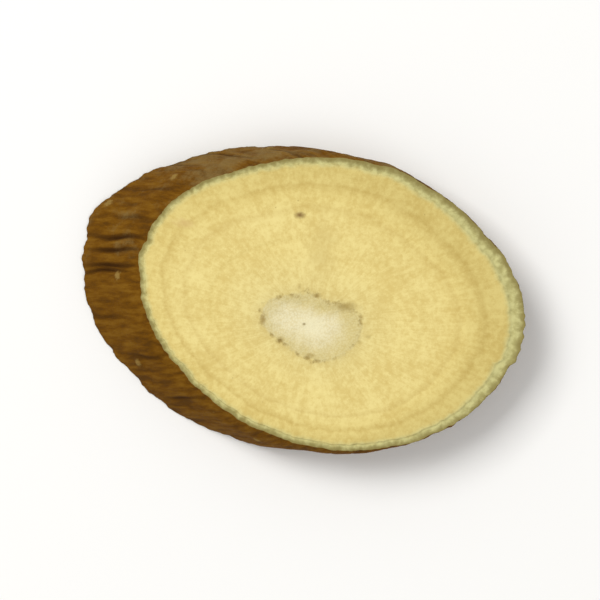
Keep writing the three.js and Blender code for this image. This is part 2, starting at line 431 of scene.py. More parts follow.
@dataclass
class CutFace:
    """The relief of a cut face: pith, wood with its year rings, cambium and inner bark.

    The rows of the face run from the pith's middle to the rim, and growth counts them: -1 is the
    pith's middle, 0 its edge, 1 the cambium and 2 the rim.

    Attributes:
        twig: The twig that is cut.
        pith_centre: Middle of the pith from the middle of the cut.
        pith_radius: The pith's mean radius in the cut.
        pith_lobes: Waves that make it a blunt kite.
        pith_sink: How far the pith has dried below the wood.
        pith_slope: How much of the way to its middle it slopes down.
        ring_shares: Year rings as shares of the way from pith to cambium.
        ring_groove: Depth of a ring's groove.
        ring_half_width: Half its width as a share of the same way.
        inner_bark: Least and greatest width of the inner bark.
        inner_bark_widest: Angle of its widest side.
        inner_bark_narrowing: How fast it narrows away from there.
        inner_bark_slope: Growth over which it slopes down from the wood.
        cambium_gap: Depth of the shrinkage groove between wood and inner bark.
        cambium_gap_at: Growth at the middle of that groove.
        cambium_gap_half: Half its width, as growth.
        blade_pitch: Distance between the marks that the blade left.
        blade_way: Direction in which they follow each other.
        blade_mark: Mean height of those marks, and how much it varies.
        blade_patch: Size of the places where they are deeper.
        warp: Height of the slow unevenness of the dried face.
        warp_size: Width of one of its waves.
        sponge: Height of the pith's crumbly surface.
        sponge_size: Width of one crumb.
        fibre: Height of the inner bark's torn fibres.
        fibre_size: Width of a tuft of them.
        wood_fade: Growth over which the blade's marks fade in at the pith and out at the cambium.
        pith_fade: Growth where the crumbs start to fade, and where they end.
        bast_fade: Growth over which the fibres fade in at the cambium and out at the rim.
        rim_fade: Growth over which the unevenness fades out at the rim.
    """

    twig: Twig
    pith_centre: tuple[float, float] = (-0.95, -1.31)
    pith_radius: float = 1.98
    pith_lobes: tuple[Lobe, ...] = (
        Lobe(1, 0.17, -42), Lobe(2, 0.5, -5.5), Lobe(3, 0.05, 42), Lobe(4, 0.12, 8), Lobe(5, 0.07, 29),
    )
    pith_sink: float = 0.12
    pith_slope: float = 0.4
    ring_shares: tuple[float, ...] = (0.42, 0.69, 0.85)
    ring_groove: float = 0.008
    ring_half_width: float = 0.03
    inner_bark: tuple[float, float] = (0.32, 0.84)
    inner_bark_widest: float = math.radians(17)
    inner_bark_narrowing: float = 3.0
    inner_bark_slope: float = 0.25
    cambium_gap: float = 0.03
    cambium_gap_at: float = 1.02
    cambium_gap_half: float = 0.07
    blade_pitch: float = 1.3
    blade_way: tuple[float, float] = (0.35, 0.94)
    blade_mark: tuple[float, float] = (0.0036, 0.0036)
    blade_patch: float = 2.5
    warp: float = 0.03
    warp_size: float = 5.0
    sponge: float = 0.05
    sponge_size: float = 0.5
    fibre: float = 0.045
    fibre_size: float = 0.35
    wood_fade: tuple[float, float] = (0.1, 0.05)
    pith_fade: tuple[float, float] = (-0.15, 0.05)
    bast_fade: tuple[float, float] = (0.1, 0.08)
    rim_fade: float = 0.3

    def pith_reach(self, direction: Array) -> Array:
        """Returns the distance from the pith's middle to its edge in each direction."""
        return self.pith_radius + lobes_at(self.pith_lobes, direction)

    def middle(self, cut: Cut) -> Array:
        """Returns the pith's middle on a cut face, as x and y."""
        return np.array(self.pith_centre) + self.twig.lean(self.twig.thickness * cut.value)

    def sink(self, growth: Array) -> Array:
        """Finds how far the pith, the rings and the inner bark lie below the cut.

        Args:
            growth: Growth of each place.

        Returns:
            Millimetres at each place.
        """
        pith = self.pith_sink * (1 - smooth(growth, -self.pith_slope, 0))
        nearest = np.min([np.abs(growth - ring) for ring in self.ring_shares], axis=0)
        groove = self.ring_groove * (1 - smooth(nearest, 0, self.ring_half_width))
        inner = self.twig.bark_sink * smooth(growth, 1.0, 1.0 + self.inner_bark_slope)
        off_gap = np.abs(growth - self.cambium_gap_at)
        return pith + groove + inner + self.cambium_gap * (1 - smooth(off_gap, 0, self.cambium_gap_half))

    def rows(self, turn: Array, growth: Array, rim: Array, cut: Cut) -> tuple[Array, dict[Mark, Array]]:
        """Makes the points of a face's rows.

        Args:
            turn: Angles round the twig, one for each column.
            growth: Growth of each row, as a column of numbers.
            rim: Points of the rim, one for each angle.
            cut: Which face it is.

        Returns:
            The points and their marks.
        """
        middle = self.middle(cut)
        spread = rim[:, :2] - middle
        reach = np.hypot(spread[:, 0], spread[:, 1])
        heading = spread / reach[:, None]
        pith = self.pith_reach(np.arctan2(spread[:, 1], spread[:, 0]))
        nearness = (1 + np.cos(turn - self.inner_bark_widest)) / 2
        bark = blend(*self.inner_bark, nearness**self.inner_bark_narrowing)
        out = np.where(growth < 0, pith * (1 + growth), blend(pith, reach - bark, growth))
        out = np.where(growth > 1, blend(reach - bark, reach, growth - 1), out)
        flat = middle + out[..., None] * heading
        depth = self.sink(growth) + self.fine_sink(flat, growth)
        if cut is Cut.UPPER:
            place = flat - self.twig.lean(self.twig.thickness)
            height = self.twig.upper_cut(place[..., 0], place[..., 1]) - depth
        else:
            height = np.maximum(depth, 0)
        marks = {mark: np.zeros(out.shape) for mark in Mark}
        marks[Mark.GROWTH] = np.broadcast_to(growth, out.shape)
        marks[Mark.FROM_PITH] = out - pith
        marks[Mark.FROM_CAMBIUM] = out - (reach - bark)
        marks[Mark.UNDER_BARK] = reach - out
        return np.concatenate([flat, height[..., None]], axis=-1), marks

    def fine_sink(self, flat: Array, growth: Array) -> Array:
        """Finds the relief that is finer than the solid's.

        Args:
            flat: Places on the face, as x and y.
            growth: Growth of each row.

        Returns:
            How far each place lies below the plain face.
        """
        places = np.concatenate([flat, np.zeros((*flat.shape[:-1], 1))], axis=-1)
        lines = np.sin(2 * math.pi * (flat @ np.array(self.blade_way)) / self.blade_pitch)
        depth, variety = self.blade_mark
        marks = lines * (depth + variety * fractal(places, self.blade_patch, 2))
        uneven = self.warp * fractal(places, self.warp_size, 2, Patch.WARP)
        sponge = self.sponge * fractal(places, self.sponge_size, 3, Patch.SPONGE)
        fibres = self.fibre * fractal(places, self.fibre_size, 3, Patch.FIBRES)
        wood = smooth(growth, 0.0, self.wood_fade[0]) * (1 - smooth(growth, 1 - self.wood_fade[1], 1.0))
        pith = 1 - smooth(growth, *self.pith_fade)
        bast = smooth(growth, 1.0, 1 + self.bast_fade[0]) * smooth(2 - growth, 0, self.bast_fade[1])
        off_rim = smooth(2 - growth, 0, self.rim_fade)
        return marks * wood + uneven * off_rim + sponge * pith + fibres * bast


@dataclass(frozen=True)
class Growth:
    """Where a shaded point lies in the twig that it grew in, as node outputs.

    Attributes:
        place: Millimetres, with z along the twig and the pith's axis at the origin.
        heading: Unit direction from the pith's axis.
        reach: Millimetres from the pith's axis.
        marks: The mesh's own values by name.
    """

    place: Socket
    heading: Socket
    reach: Socket
    marks: dict[Mark, Socket]


@dataclass(frozen=True)
class Layer:
    """What one tissue gives the surface: colour, roughness, and height in millimetres."""

    colour: Socket
    roughness: Socket
    height: Socket


@dataclass(frozen=True)
class Stain:
    """A spot of another colour in wood or pith, which runs along the grain.

    Attributes:
        middle: Its middle from the pith's axis, square to the twig.
        half: Half its size in the same two directions.
        colour: Of its middle.
        strength: How much of that colour shows.
        raggedness: How uneven its edge is.
        waves: How many waves of that edge there are in half its smaller size.
    """

    middle: tuple[float, float]
    half: tuple[float, float]
    colour: str
    strength: float
    raggedness: float = 0.8
    waves: float = 1.5

    def over(self, tree: Tree, at: Growth, colour: Socket) -> Socket:
        """Lays the stain over a colour.

        Args:
            tree: The tree that it is in.
            at: Where the shaded point grew.
            colour: What is under it.

        Returns:
            The two together.
        """
        shrink = (1 / self.half[0], 1 / self.half[1], 0.0)
        away = add_node(tree, "VectorMath", (at.place, (*self.middle, 0.0)), operation="SUBTRACT")
        shrunk = add_node(tree, "VectorMath", (away, shrink), operation="MULTIPLY")
        reach = add_node(tree, "VectorMath", (shrunk,), "Value", operation="LENGTH")
        uneven = add_node(tree, "TexNoise", {"Vector": at.place, "Scale": self.waves / min(self.half),
                                             "Detail": 3.0})
        edge = add_node(tree, "Math", (uneven, self.raggedness, reach), operation="MULTIPLY_ADD")
        inner = NOISE_MIDDLE * self.raggedness
        share = add_node(tree, "MapRange", (edge, inner, 1 + inner, self.strength, 0.0),
                         interpolation_type="SMOOTHSTEP")
        return add_node(tree, "Mix", {0: share, MIX_A: colour, MIX_B: linear(self.colour)}, MIX_COLOUR,
                        data_type="RGBA")


@dataclass(frozen=True)
class Sapwood:
    """Mulberry sapwood, cut across aslant with a blade and dried.

    To the eye it is a pale matt yellow, deeper towards the bark, with hair-fine rays that fan out
    from the pith, pin-pricks of open vessels and faint darker lines where years meet.

    Attributes:
        ageing: Colours from the pith's edge to the cambium.
        deeper_side: Direction in which the wood's colour deepens sooner, and how much sooner.
        rings: Tints of the year lines, which multiply the colour, over the same way.
        waver: How far those lines waver, as a share of the same way.
        shade: Tint of the darker grain, which multiplies the colour.
        contrast: How far above or below its middle the grain is fully pale or dark.
        ray_radius: Distance from the pith at which the next spacing holds.
        rays: Spacing and length of the wood's rays, short strokes where the slanting cut meets them.
        ray_share: How much the rays count in the grain, against the mottling.
        blotch_size: Width of the slow blotches.
        blotch_share: How much they count in the grain.
        mottle_size: Width of the small mottling.
        grain_depth: Height of the grain.
        pores: How many vessels stand open, from the pith's edge to the cambium.
        vessel: Colour inside an open vessel.
        vessel_strength: How much of that colour shows.
        vessel_spacing: Between vessels. Real ones are 0.1 mm apart, and these are drawn coarser.
        vessel_radius: Of the largest vessels, coarser than life in the same way.
        vessel_least: Radius of the smallest as a share of the largest, and below 0 it is closed.
        vessel_edge: Where a vessel's edge starts and ends, from its radius, in spacings.
        vessel_run: Spacing across the twig as a share of a vessel's length along it.
        vessel_depth: How deep a cut vessel looks.
        stains: Spots of darker wood.
        roughness: Of the cut wood, from its smoothest to its roughest place.
        sheen: Level of its sheen, low because the cut cells are open.
    """

    ageing: Stops = (
        (0.0, "#e0d08e"), (0.1, "#e5d48e"), (0.35, "#e8d68d"),
        (0.6, "#e7d58c"), (0.8, "#e2cf84"), (1.0, "#d6c379"),
    )
    deeper_side: Direction = (0.16, 0.06, 0.0)
    rings: Stops = (
        (0.4, "#ffffff"), (0.43, "#fbfaf7"), (0.46, "#ffffff"),
        (0.62, "#ffffff"), (0.675, "#f6f3ee"), (0.7, "#ffffff"),
        (0.79, "#ffffff"), (0.85, "#f3efe7"), (0.88, "#ffffff"),
    )
    waver: float = 0.03
    shade: str = "#ebe3d2"
    contrast: float = 0.22
    ray_radius: float = 5.0
    rays: tuple[float, float] = (0.13, 0.9)
    ray_share: float = 0.3
    blotch_size: float = 2.0
    blotch_share: float = 0.5
    mottle_size: float = 0.3
    grain_depth: float = 0.014
    pores: Stops = (
        (0.0, "#606060"), (0.41, "#202020"), (0.44, "#d0d0d0"), (0.55, "#505050"), (0.68, "#202020"),
        (0.71, "#ffffff"), (0.80, "#606060"), (0.86, "#202020"), (0.89, "#e0e0e0"), (1.0, "#808080"),
    )
    vessel: str = "#a88e4e"
    vessel_strength: float = 0.45
    vessel_spacing: float = 0.2
    vessel_radius: float = 0.045
    vessel_least: float = -0.6
    vessel_edge: tuple[float, float] = (-0.03, 0.12)
    vessel_run: float = 0.1
    vessel_depth: float = 0.02
    stains: tuple[Stain, ...] = (
        Stain((0.1, 3.7), (0.9, 2.3), "#c9b26c", 0.45, 1.2),
        Stain((-0.87, 5.4), (0.3, 0.26), "#75552a", 0.9, 0.5),
        Stain((-5.2, 4.2), (0.6, 0.4), "#cbab72", 0.5, 0.9),
    )
    roughness: tuple[float, float] = (0.62, 0.8)
    sheen: float = 0.12

    def layer(self, tree: Tree, at: Growth) -> Layer:
        """Adds the wood's nodes.

        Args:
            tree: The tree that they go into.
            at: Where the shaded point grew.

        Returns:
            What the wood gives the surface.
        """
        grown = at.marks[Mark.GROWTH]
        blotch = add_node(tree, "TexNoise", {"Vector": at.place, "Scale": 1 / self.blotch_size,
                                             "Detail": 2.0})
        # Darker towards one side: the colour deepens with growth sooner in one direction.
        towards = add_node(tree, "VectorMath", (at.heading, self.deeper_side), "Value",
                           operation="DOT_PRODUCT")
        deepened = add_node(tree, "Math", (towards, grown, grown), operation="MULTIPLY_ADD")
        plain = add_node(tree, "ValToRGB", (deepened,), stops=self.ageing)
        wavering = add_node(tree, "MapRange", (blotch, 0.0, 1.0, -self.waver, self.waver))
        year = add_node(tree, "Math", (grown, wavering), operation="ADD")
        lines = add_node(tree, "ValToRGB", (year,), stops=self.rings)
        ringed = add_node(tree, "Mix", {0: 1.0, MIX_A: plain, MIX_B: lines}, MIX_COLOUR,
                          data_type="RGBA", blend_type="MULTIPLY")

        spacing, length = self.rays
        fan = add_node(tree, "VectorMath", {0: at.heading, "Scale": self.ray_radius / spacing},
                       operation="SCALE")
        run = add_node(tree, "Math", (at.reach, length), operation="DIVIDE")
        lift = add_node(tree, "CombineXYZ", {"Z": run})
        fanned = add_node(tree, "VectorMath", (fan, lift), operation="ADD")
        streaks = add_node(tree, "TexNoise", {"Vector": fanned, "Scale": 1.0, "Detail": 3.0})
        mottle = add_node(tree, "TexNoise", {"Vector": at.place, "Scale": 1 / self.mottle_size,
                                             "Detail": 5.0, "Roughness": 0.75})
        tone = add_node(tree, "Math", (streaks, self.ray_share, mottle), operation="MULTIPLY_ADD")
        clouded = add_node(tree, "Math", (blotch, self.blotch_share, tone), operation="MULTIPLY_ADD")
        middle = (1 + self.ray_share + self.blotch_share) * NOISE_MIDDLE
        grain_range = (middle - self.contrast, middle + self.contrast)
        darker = add_node(tree, "MapRange", (clouded, *grain_range, 1.0, 0.0),
                          interpolation_type="SMOOTHSTEP")
        grained = add_node(tree, "Mix", {0: darker, MIX_A: linear("#ffffff"), MIX_B: linear(self.shade)},
                           MIX_COLOUR, data_type="RGBA")
        tinted = add_node(tree, "Mix", {0: 1.0, MIX_A: ringed, MIX_B: grained}, MIX_COLOUR,
                          data_type="RGBA", blend_type="MULTIPLY")

        tubes = add_node(tree, "VectorMath", (at.place, (1.0, 1.0, self.vessel_run)), operation="MULTIPLY")
        off_middle = add_node(tree, "TexVoronoi", {"Vector": tubes, "Scale": 1 / self.vessel_spacing})
        pick = add_node(tree, "SeparateColor", (off_middle.node.outputs["Color"],))
        open_share = add_node(tree, "ValToRGB", (year,), stops=self.pores)
        size = add_node(tree, "Math", (pick, open_share), operation="MULTIPLY")
        widest = self.vessel_radius / self.vessel_spacing
        sizes = ((1 - self.vessel_least) * widest, self.vessel_least * widest)
        radius = add_node(tree, "Math", (size, *sizes), operation="MULTIPLY_ADD")
        inside = add_node(tree, "Math", (radius, off_middle), operation="SUBTRACT")
        vessel = add_node(tree, "MapRange", (inside, *self.vessel_edge), interpolation_type="SMOOTHSTEP")
        dark = add_node(tree, "Math", (vessel, self.vessel_strength), operation="MULTIPLY")
        colour = add_node(tree, "Mix", {0: dark, MIX_A: tinted, MIX_B: linear(self.vessel)}, MIX_COLOUR,
                          data_type="RGBA")
        for stain in self.stains:
            colour = stain.over(tree, at, colour)
        roughness = add_node(tree, "MapRange", (mottle, *NOISE_RANGE, *self.roughness))
        pit = add_node(tree, "Math", (vessel, -self.vessel_depth), operation="MULTIPLY")
        height = add_node(tree, "Math", (tone, self.grain_depth, pit), operation="MULTIPLY_ADD")
        return Layer(colour, roughness, height)


@dataclass(frozen=True)
class PithTissue:
    """Pith, the soft core of dead round cells, dried in the air.

    To the eye it is chalky white and fine-grained, yellower towards one side and its edge, with a
    broken line of brown flecks where its crushed outer cells meet the wood.

    Attributes:
        core: Colour of the middle.
        edge: Colour towards the wood.
        hollow: Tint between the clumps of cells, which multiplies the colour.
        edge_width: How far in from the wood the edge colour reaches.
        yellow_side: Direction in which the edge colour reaches further, and how much.
        cloud_size: Width of the soft clouds in its colour.
        cloud_depth: How far the surface rises and falls with them.
        cell_size: Width of a clump of cells. One cell is half of that, too fine to show.
        cell_gap: Where the gap between clumps starts and ends, from a clump's middle, in clumps.
        cell_depth: Depth between clumps.
        fleck: Colour of the crushed cells at the edge.
        fleck_size: Width of one fleck.
        fleck_band: How far from the edge the flecks lie.
        fleck_chance: What is added to the noise of the flecks at the edge, and past that band.
        fleck_range: Where in that noise a fleck starts, and where it is whole.
        fleck_strength: How much of its colour shows.
        fleck_depth: How far it lies in.
        stains: Spots of paler and darker pith.
        crushed: The largest spots of crushed cells along the edge.
        roughness: Of the chalky cells, and of the gaps between them.
    """

    core: str = "#e4dab2"
    edge: str = "#d3c48a"
    hollow: str = "#f6f2e8"
    edge_width: float = 0.75
    yellow_side: Direction = (0.22, 0.05, 0.0)
    cloud_size: float = 0.625
    cloud_depth: float = 0.06
    cell_size: float = 0.1
    cell_gap: tuple[float, float] = (0.3, 0.8)
    cell_depth: float = 0.012
    fleck: str = "#967c3f"
    fleck_size: float = 0.42
    fleck_band: float = 0.4
    fleck_chance: tuple[float, float] = (0.12, -0.2)
    fleck_range: tuple[float, float] = (0.54, 0.82)
    fleck_strength: float = 0.85
    fleck_depth: float = 0.04
    stains: tuple[Stain, ...] = (
        Stain((0.15, -0.1), (0.75, 1.0), "#eae1b9", 0.75, 0.6),
        Stain((-0.16, -0.06), (0.11, 0.11), "#8a7546", 0.85, 0.4),
    )
    crushed: tuple[Stain, ...] = (
        Stain((1.25, 1.12), (0.62, 0.4), "#a0884a", 0.75, 1.2),
        Stain((-1.78, -0.1), (0.2, 0.5), "#9a8045", 0.8, 0.9),
        Stain((-1.04, -1.03), (0.24, 0.22), "#8c7238", 0.75, 0.9),
        Stain((0.2, -1.59), (0.3, 0.2), "#a0884a", 0.6, 1.0),
        Stain((0.12, 1.48), (0.26, 0.2), "#9a8045", 0.65, 1.0),
        Stain((-0.56, 1.79), (0.1, 0.24), "#ad9656", 0.5, 0.8),
        Stain((2.23, -0.25), (0.18, 0.16), "#b09a58", 0.5, 0.9),
        Stain((1.91, -0.58), (0.16, 0.14), "#b09a58", 0.5, 0.9),
    )
    roughness: tuple[float, float] = (0.92, 1.0)

    def layer(self, tree: Tree, at: Growth) -> Layer:
        """Adds the pith's nodes.

        Args:
            tree: The tree that they go into.
            at: Where the shaded point grew.

        Returns:
            What the pith gives the surface.
        """
        cloud = add_node(tree, "TexNoise", {"Vector": at.place, "Scale": 1 / self.cloud_size, "Detail": 4.0})
        aside = add_node(tree, "VectorMath", (at.place, self.yellow_side), "Value",
                         operation="DOT_PRODUCT")
        uneven = add_node(tree, "Math", (cloud, aside), operation="ADD")
        nearness = add_node(tree, "Math", (uneven, at.marks[Mark.FROM_PITH]), operation="ADD")
        edge = add_node(tree, "MapRange", (nearness, NOISE_MIDDLE - 2 * self.edge_width, NOISE_MIDDLE),
                        interpolation_type="SMOOTHSTEP")
        plain = add_node(tree, "Mix", {0: edge, MIX_A: linear(self.core), MIX_B: linear(self.edge)},
                         MIX_COLOUR, data_type="RGBA")
        off_middle = add_node(tree, "TexVoronoi", {"Vector": at.place, "Scale": 1 / self.cell_size})
        gap = add_node(tree, "MapRange", (off_middle, *self.cell_gap), interpolation_type="SMOOTHSTEP")
        shade = add_node(tree, "Mix", {0: gap, MIX_A: linear("#ffffff"), MIX_B: linear(self.hollow)},
                         MIX_COLOUR, data_type="RGBA")
        colour = add_node(tree, "Mix", {0: 1.0, MIX_A: plain, MIX_B: shade}, MIX_COLOUR,
                          data_type="RGBA", blend_type="MULTIPLY")
        for stain in self.stains:
            colour = stain.over(tree, at, colour)
        crumbs = add_node(tree, "Math", (off_middle, -self.cell_depth), operation="MULTIPLY")
        height = add_node(tree, "Math", (cloud, self.cloud_depth, crumbs), operation="MULTIPLY_ADD")
        roughness = add_node(tree, "MapRange", (gap, 0.0, 1.0, *self.roughness))
        return Layer(colour, roughness, height)

    def flecked(self, tree: Tree, at: Growth, layer: Layer) -> Layer:
        """Lays the brown flecks of the pith's edge over a layer.

        Args:
            tree: The tree that they go into.
            at: Where the shaded point grew.
            layer: What is under them.

        Returns:
            The two together.
        """
        specks = add_node(tree, "TexNoise", {"Vector": at.place, "Scale": 1 / self.fleck_size,
                                             "Detail": 3.0, "Roughness": 0.6})
        off_edge = add_node(tree, "Math", (at.marks[Mark.FROM_PITH],), operation="ABSOLUTE")
        near = add_node(tree, "MapRange", (off_edge, 0.0, self.fleck_band, *self.fleck_chance),
                        interpolation_type="SMOOTHSTEP")
        chance = add_node(tree, "Math", (specks, near), operation="ADD")
        fleck = add_node(tree, "MapRange", (chance, *self.fleck_range, 0.0, self.fleck_strength),
                         interpolation_type="SMOOTHSTEP")
        colour = add_node(tree, "Mix", {0: fleck, MIX_A: layer.colour, MIX_B: linear(self.fleck)},
                          MIX_COLOUR, data_type="RGBA")
        height = add_node(tree, "Math", (fleck, -self.fleck_depth, layer.height), operation="MULTIPLY_ADD")
        for stain in self.crushed:
            colour = stain.over(tree, at, colour)
        return Layer(colour, layer.roughness, height)


@dataclass(frozen=True)
class InnerBark:
    """Inner bark, the tough pale bast between wood and cork.

    To the eye it is a soft grey-green to straw band of matted fibres, with a hair-thin brown edge
    of cork round it, painted wider on one side as painted shade where the rim slopes away from the light.

    Attributes:
        pale: Colour of the fibres.
        dull: Colour between the fibres.
        tone_range: Where in the noise of the fibres the dull colour ends and the pale one starts.
        paling: What is added to that noise at the cambium, and at the rim.
        cork: Colour of the cut edge of the cork, and of the painted shade that widens it on one side.
        cork_strength: How much of that colour shows.
        cork_edge: Where its fading starts, from the rim.
        cork_fade: How far in from there its brown fades out.
        cork_waver: How far that fading wavers with the fibres.
        painted_shade_side: Direction in which the brown edge is widened as painted shade, where the rim
            slopes away from the light.
        painted_shade_width: How much wider that painted shade makes the brown edge.
        painted_shade_focus: How fast that lessens away from this direction.
        fibre_width: Width of a bundle of fibres across its run.
        fibre_depth: Depth between bundles.
        roughness: Of the matted fibres, between bundles and on them.
    """

    pale: str = "#cac487"
    dull: str = "#aaa268"
    tone_range: tuple[float, float] = (0.28, 0.68)
    paling: tuple[float, float] = (0.12, -0.18)
    cork: str = "#75642f"
    cork_strength: float = 0.66
    cork_edge: float = 0.12
    cork_fade: float = 0.4
    cork_waver: float = 0.3
    painted_shade_side: Direction = (0.53, 0.85, 0.0)
    painted_shade_width: float = 0.1
    painted_shade_focus: float = 4.0
    fibre_width: float = 0.3
    fibre_depth: float = 0.03
    roughness: tuple[float, float] = (0.85, 0.95)

    def layer(self, tree: Tree, at: Growth) -> Layer:
        """Adds the inner bark's nodes.

        Args:
            tree: The tree that they go into.
            at: Where the shaded point grew.

        Returns:
            What the inner bark gives the surface.
        """
        fibres = add_node(tree, "TexNoise", {"Vector": at.place, "Scale": 1 / self.fibre_width,
                                             "Detail": 5.0, "Roughness": 0.55})
        outwards = add_node(tree, "MapRange", (at.marks[Mark.GROWTH], 1.0, 2.0, *self.paling))
        toned = add_node(tree, "Math", (fibres, outwards), operation="ADD")
        shade = add_node(tree, "MapRange", (toned, *self.tone_range), interpolation_type="SMOOTHSTEP")
        bast = add_node(tree, "Mix", {0: shade, MIX_A: linear(self.dull), MIX_B: linear(self.pale)},
                        MIX_COLOUR, data_type="RGBA")
        crooked = add_node(tree, "Math", (fibres, self.cork_waver, at.marks[Mark.UNDER_BARK]),
                           operation="MULTIPLY_ADD")
        # Painted shade: the brown edge is widened towards one side, where the rim slopes away from the
        # light.
        aside = add_node(tree, "VectorMath", (at.heading, self.painted_shade_side), "Value",
                         operation="DOT_PRODUCT")
        facing = add_node(tree, "Math", (aside, 0.0), operation="MAXIMUM")
        painted_shade_spread = add_node(tree, "Math", (facing, self.painted_shade_focus), operation="POWER")
        under = add_node(tree, "Math", (painted_shade_spread, -self.painted_shade_width, crooked), operation="MULTIPLY_ADD")
        fading = (self.cork_edge, self.cork_edge + self.cork_fade, self.cork_strength, 0.0)
        cork = add_node(tree, "MapRange", (under, *fading), interpolation_type="SMOOTHSTEP")
        colour = add_node(tree, "Mix", {0: cork, MIX_A: bast, MIX_B: linear(self.cork)}, MIX_COLOUR,
                          data_type="RGBA")
        height = add_node(tree, "Math", (fibres, self.fibre_depth), operation="MULTIPLY")
        roughness = add_node(tree, "MapRange", (fibres, 0.0, 1.0, *self.roughness))
        return Layer(colour, roughness, height)


@dataclass(frozen=True)
class OuterBark:
    """Mulberry bark, thin cork that dried on the twig and shrank into wrinkles.

    To the eye it is a matt red-brown, streaked along the twig, and dotted with straw-coloured corky
    lenticels.
    Painted shade makes it almost black in the furrows and darker between the ridges, and a painted highlight
    makes it paler on their tops.

    Attributes:
        relief_shade_tones: Colours from between the ridges to their tops, painted shade where low and
            painted highlight where high.
        relief_shade_share: How much a millimetre of relief counts in them, against the streaks, which are
            the bark's own colour.
        furrow: Colour in the furrows, painted shade of their depth.
        furrow_shade_strength: How much of that painted shade shows.
        streak_width: Width of the streaks.
        streak_length: Length of the streaks.
        streak_depth: Height of the streaks.
        twist: Turn of the streaks per millimetre along the twig.
        bloom_and_light: Colour of the greyish film in patches, also laid thicker on one side as painted
            light.
        bloom_and_light_strength: How much of that colour shows.
        patch_size: Width of those patches.
        patch_range: Where in their noise a patch starts, and where it is whole.
        painted_light_side: Direction in which the film is laid thicker as painted light, on the side the
            light falls on, and how much.
        grain_size: Width of the finest grain.
        grain_depth: Depth of that grain.
        lenticel: Colour of a lenticel's cork.
        cork_strength: How much of that colour shows.
        cork_grain: How ragged the grain makes a lenticel's edge.
        cork_range: Where that cork starts, and where it is whole.
        dot_spacing: Between the smallest lenticels.
        dot_radius: Of the largest of those.
        dot_edge: Where a small one's edge starts and ends, from its radius, in spacings.
        dot_strength: How much of a large one's cork a small one has.
        roughness: Of the cork, from its smoothest to its roughest place.
        sheen: Level of its sheen. Dried cork has next to none.
    """

    relief_shade_tones: Stops = ((0.36, "#58380a"), (0.5, "#6a4408"), (0.68, "#7b5514"))
    relief_shade_share: float = 2.4
    furrow: str = "#301902"
    furrow_shade_strength: float = 0.95
    streak_width: float = 0.3
    streak_length: float = 1.4
    streak_depth: float = 0.06
    twist: float = 0.015
    bloom_and_light: str = "#826b3d"
    bloom_and_light_strength: float = 0.7
    patch_size: float = 1.6
    patch_range: tuple[float, float] = (0.5, 0.76)
    painted_light_side: Direction = (0.07, 0.15, 0.0)
    grain_size: float = 0.12
    grain_depth: float = 0.025
    lenticel: str = "#94793f"
    cork_strength: float = 0.8
    cork_grain: float = 0.8
    cork_range: tuple[float, float] = (0.9, 1.4)
    dot_spacing: float = 0.9
    dot_radius: float = 0.13
    dot_edge: tuple[float, float] = (-0.08, 0.06)
    dot_strength: float = 0.75
    roughness: tuple[float, float] = (0.7, 0.92)
    sheen: float = 0.05

    def layer(self, tree: Tree, at: Growth) -> Layer:
        """Adds the bark's nodes.

        Args:
            tree: The tree that they go into.
            at: Where the shaded point grew.

        Returns:
            What the bark gives the surface.
        """
        along = add_node(tree, "SeparateXYZ", (at.place,), "Z")
        turned = add_node(tree, "Math", (along, self.twist), operation="MULTIPLY")
        spun = add_node(tree, "VectorRotate", {"Vector": at.place, "Angle": turned},
                        rotation_type="Z_AXIS")
        stretch = (1.0, 1.0, self.streak_width / self.streak_length)
        drawn = add_node(tree, "VectorMath", (spun, stretch), operation="MULTIPLY")
        streaks = add_node(tree, "TexNoise", {"Vector": drawn, "Scale": 1 / self.streak_width,
                                              "Detail": 5.0, "Roughness": 0.65})
        # Painted shade and highlight: the colour darkens where the bark's relief is low and pales where it
        # is high, over the streaks, which are the bark's own colour.
        relief = add_node(tree, "Math", (at.marks[Mark.RELIEF], self.relief_shade_share, streaks),
                          operation="MULTIPLY_ADD")
        base = add_node(tree, "ValToRGB", (relief,), stops=self.relief_shade_tones)

        patches = add_node(tree, "TexNoise", {"Vector": at.place, "Scale": 1 / self.patch_size,
                                              "Detail": 5.0, "Roughness": 0.7})
        # Painted light: the greyish film is laid thicker on the side towards the light.
        painted_light_share = add_node(tree, "VectorMath", (at.heading, self.painted_light_side), "Value",
                         operation="DOT_PRODUCT")
        bloom_and_light_noise = add_node(tree, "Math", (patches, painted_light_share), operation="ADD")
        patch = add_node(tree, "MapRange", (bloom_and_light_noise, *self.patch_range, 0.0, self.bloom_and_light_strength),
                         interpolation_type="SMOOTHSTEP")
        # Painted shade: the furrows are darkened almost to black.
        furrow_shade = add_node(tree, "Math", (at.marks[Mark.FURROW], self.furrow_shade_strength),
                          operation="MULTIPLY")

        grain = add_node(tree, "TexNoise", {"Vector": at.place, "Scale": 1 / self.grain_size, "Detail": 3.0})
        off_middle = add_node(tree, "TexVoronoi", {"Vector": at.place, "Scale": 1 / self.dot_spacing})
        pick = add_node(tree, "SeparateColor", (off_middle.node.outputs["Color"],))
        widest = self.dot_radius / self.dot_spacing
        radius = add_node(tree, "Math", (pick, 2 * widest, -widest), operation="MULTIPLY_ADD")
        inside = add_node(tree, "Math", (radius, off_middle), operation="SUBTRACT")
        small = add_node(tree, "MapRange", (inside, *self.dot_edge, 0.0, self.dot_strength),
                         interpolation_type="SMOOTHSTEP")
        largest = add_node(tree, "Math", (at.marks[Mark.LENTICEL], small), operation="MAXIMUM")
        ragged = add_node(tree, "Math", (grain, self.cork_grain, largest), operation="MULTIPLY_ADD")
        corky = add_node(tree, "MapRange", (ragged, *self.cork_range, 0.0, self.cork_strength),
                         interpolation_type="SMOOTHSTEP")

